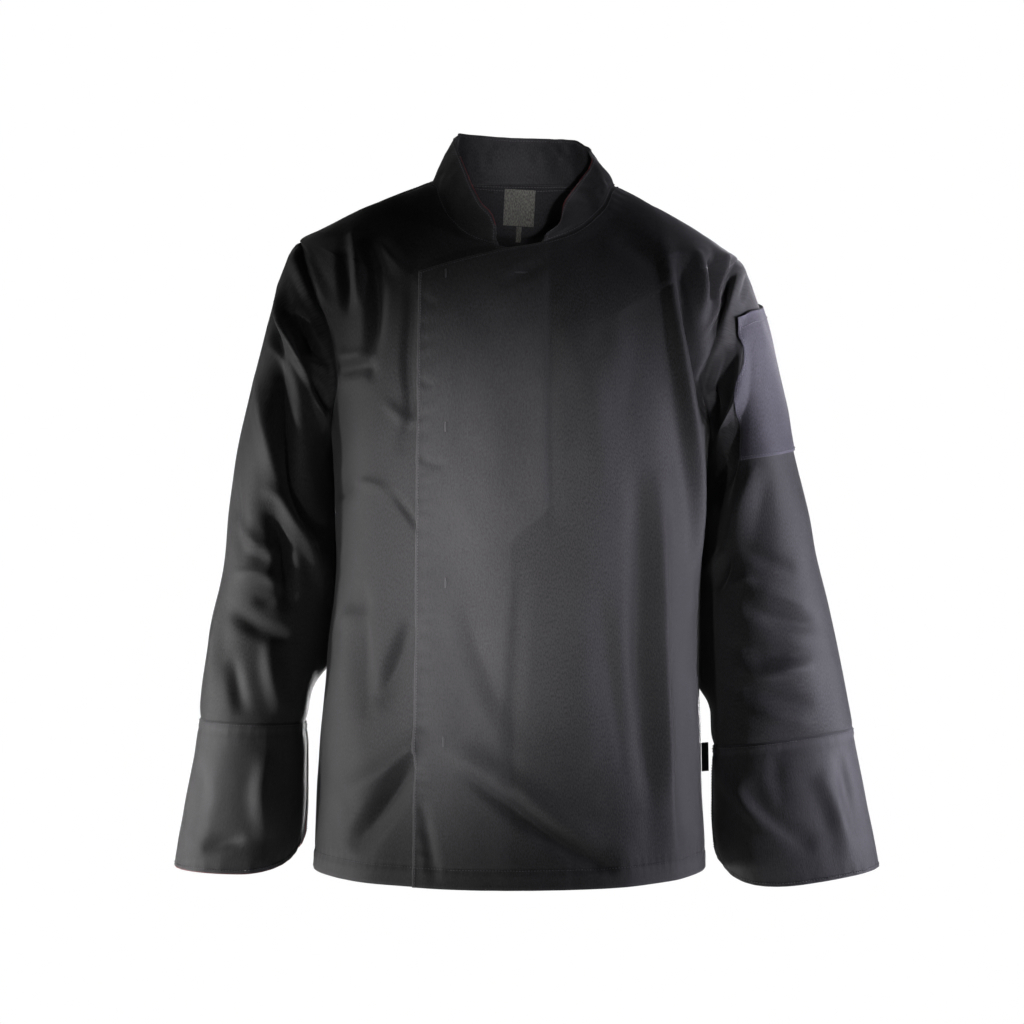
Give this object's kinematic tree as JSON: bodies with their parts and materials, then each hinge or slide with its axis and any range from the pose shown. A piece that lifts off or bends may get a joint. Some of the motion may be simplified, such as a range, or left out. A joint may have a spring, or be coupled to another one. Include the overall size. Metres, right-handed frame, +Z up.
{
  "type": "chef jacket",
  "caption": "Double-breasted long-sleeved chef jacket with a stand collar, concealed front fastening, deep split cuffs and a sleeve pocket, in its worn hollow form.",
  "frame": {"origin": "the middle of the neck base, level with the tops of the shoulders, where the wearer holds the jacket up", "axes": "+Z up, the front faces -Y, +X towards the wearer's left"},
  "size_m": [0.746, 0.2698, 0.7953],
  "materials": {
    "twill": "black polyester-cotton twill with a soft sheen",
    "pocket_twill": "black twill, pressed",
    "label": "woven grey-olive ribbon, bare",
    "tag": "plain black ribbon"
  },
  "bodies": {
    "root": {"front_over": "twill", "front_under": "twill", "back": "twill", "collar": "twill", "sleeve_left": "twill", "sleeve_right": "twill", "cuff_left": "twill", "cuff_right": "twill", "sleeve_pocket": "pocket_twill", "neck_label": "label", "size_tab": "tag", "side_tag": "tag"}
  },
  "joints": []
}
